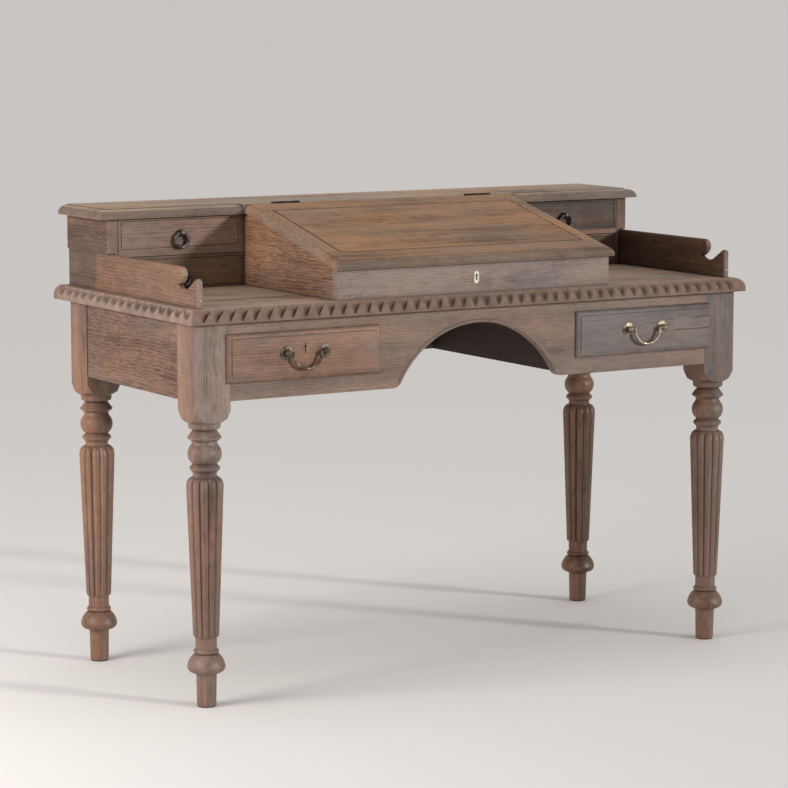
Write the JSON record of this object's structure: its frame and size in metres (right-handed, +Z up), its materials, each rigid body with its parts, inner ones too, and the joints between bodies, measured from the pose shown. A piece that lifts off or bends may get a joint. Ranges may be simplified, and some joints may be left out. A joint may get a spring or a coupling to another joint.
{
  "type": "study table",
  "caption": "Wooden writing desk with a hinged sloping lid, small drawers under a top board, scrolled gallery ends, lipped front drawers, an arched kneehole and reeded legs.",
  "frame": {"origin": "on the floor, in the middle of the desk's plan outline", "axes": "+Z up, -Y to the front where one sits, +X to the sitter's right"},
  "size_m": [1.3, 0.6154, 0.939],
  "materials": {
    "wood_carcase": "weathered, waxed",
    "wood_top": "weathered, waxed",
    "wood_slope": "weathered, waxed",
    "wood_drawer": "weathered, waxed",
    "wood_inside": "bare, planed",
    "brass": "worn, dull",
    "iron": "dark, oiled"
  },
  "bodies": {
    "carcase": {"arch_bead": "wood_carcase", "back_apron": "wood_carcase", "case_back": "wood_carcase", "case_end_left": "wood_carcase", "case_end_right": "wood_carcase", "case_shelves": "wood_carcase", "case_top": "wood_top", "desk_top": "wood_top", "drawer_runners": "wood_inside", "front_apron": "wood_carcase", "gallery_left": "wood_carcase", "gallery_right": "wood_carcase", "hinge_case_leaves": "iron", "kneehole_partitions": "wood_inside", "leg_back_left": "wood_carcase", "leg_back_right": "wood_carcase", "leg_front_left": "wood_carcase", "leg_front_right": "wood_carcase", "side_apron_left": "wood_carcase", "side_apron_right": "wood_carcase", "slope_front": "wood_slope", "slope_keyhole_plate": "brass", "slope_lock": "iron", "slope_side_left": "wood_slope", "slope_side_right": "wood_slope"},
    "lid": {"hinge_lid_leaves": "iron", "lid_panel": "wood_top", "lid_rail_back": "wood_top", "lid_rail_front": "wood_top", "lid_stile_left": "wood_top", "lid_stile_right": "wood_top"},
    "left_drawer": {"left_drawer_back": "wood_inside", "left_drawer_bottom": "wood_inside", "left_drawer_front": "wood_drawer", "left_drawer_handle_posts": "brass", "left_drawer_keyhole_plate": "brass", "left_drawer_sides": "wood_inside"},
    "left_bail": {"left_drawer_bail": "brass"},
    "right_drawer": {"right_drawer_back": "wood_inside", "right_drawer_bottom": "wood_inside", "right_drawer_front": "wood_drawer", "right_drawer_handle_posts": "brass", "right_drawer_sides": "wood_inside"},
    "right_bail": {"right_drawer_bail": "brass"},
    "upper_left_drawer": {"upper_left_drawer_box": "wood_inside", "upper_left_drawer_front": "wood_drawer", "upper_left_pull_post": "iron"},
    "upper_left_ring": {"upper_left_pull_ring": "iron"},
    "upper_right_drawer": {"upper_right_drawer_box": "wood_inside", "upper_right_drawer_front": "wood_drawer", "upper_right_pull_post": "iron"},
    "upper_right_ring": {"upper_right_pull_ring": "iron"},
    "lower_left_drawer": {"lower_left_drawer_box": "wood_inside", "lower_left_drawer_front": "wood_drawer", "lower_left_pull_post": "iron"},
    "lower_left_ring": {"lower_left_pull_ring": "iron"},
    "lower_right_drawer": {"lower_right_drawer_box": "wood_inside", "lower_right_drawer_front": "wood_drawer", "lower_right_pull_post": "iron"},
    "lower_right_ring": {"lower_right_pull_ring": "iron"}
  },
  "joints": [
    {"name": "lid_hinge", "type": "hinge", "parent": "carcase", "child": "lid", "pos_m": [0, 0.08665, 0.936], "axis": [-1, 0, 0], "range_deg": [0, 115]},
    {"name": "left_drawer_slide", "type": "slide", "parent": "carcase", "child": "left_drawer", "axis": [0, -1, 0], "range_m": [0, 0.34]},
    {"name": "left_bail_swing", "type": "hinge", "parent": "left_drawer", "child": "left_bail", "pos_m": [-0.4, -0.30075, 0.6785], "axis": [-1, 0, 0], "range_deg": [0, 100]},
    {"name": "right_drawer_slide", "type": "slide", "parent": "carcase", "child": "right_drawer", "axis": [0, -1, 0], "range_m": [0, 0.34]},
    {"name": "right_bail_swing", "type": "hinge", "parent": "right_drawer", "child": "right_bail", "pos_m": [0.4, -0.30075, 0.6785], "axis": [-1, 0, 0], "range_deg": [0, 100]},
    {"name": "upper_left_drawer_slide", "type": "slide", "parent": "carcase", "child": "upper_left_drawer", "axis": [0, -1, 0], "range_m": [0, 0.12]},
    {"name": "upper_left_ring_swing", "type": "hinge", "parent": "upper_left_drawer", "child": "upper_left_ring", "pos_m": [-0.4655, 0.09425, 0.8832], "axis": [-1, 0, 0], "range_deg": [0, 85]},
    {"name": "upper_right_drawer_slide", "type": "slide", "parent": "carcase", "child": "upper_right_drawer", "axis": [0, -1, 0], "range_m": [0, 0.12]},
    {"name": "upper_right_ring_swing", "type": "hinge", "parent": "upper_right_drawer", "child": "upper_right_ring", "pos_m": [0.4655, 0.09425, 0.8832], "axis": [-1, 0, 0], "range_deg": [0, 85]},
    {"name": "lower_left_drawer_slide", "type": "slide", "parent": "carcase", "child": "lower_left_drawer", "axis": [0, -1, 0], "range_m": [0, 0.12]},
    {"name": "lower_left_ring_swing", "type": "hinge", "parent": "lower_left_drawer", "child": "lower_left_ring", "pos_m": [-0.4615, 0.09425, 0.8047], "axis": [-1, 0, 0], "range_deg": [0, 85]},
    {"name": "lower_right_drawer_slide", "type": "slide", "parent": "carcase", "child": "lower_right_drawer", "axis": [0, -1, 0], "range_m": [0, 0.12]},
    {"name": "lower_right_ring_swing", "type": "hinge", "parent": "lower_right_drawer", "child": "lower_right_ring", "pos_m": [0.4615, 0.09425, 0.8047], "axis": [-1, 0, 0], "range_deg": [0, 85]}
  ]
}
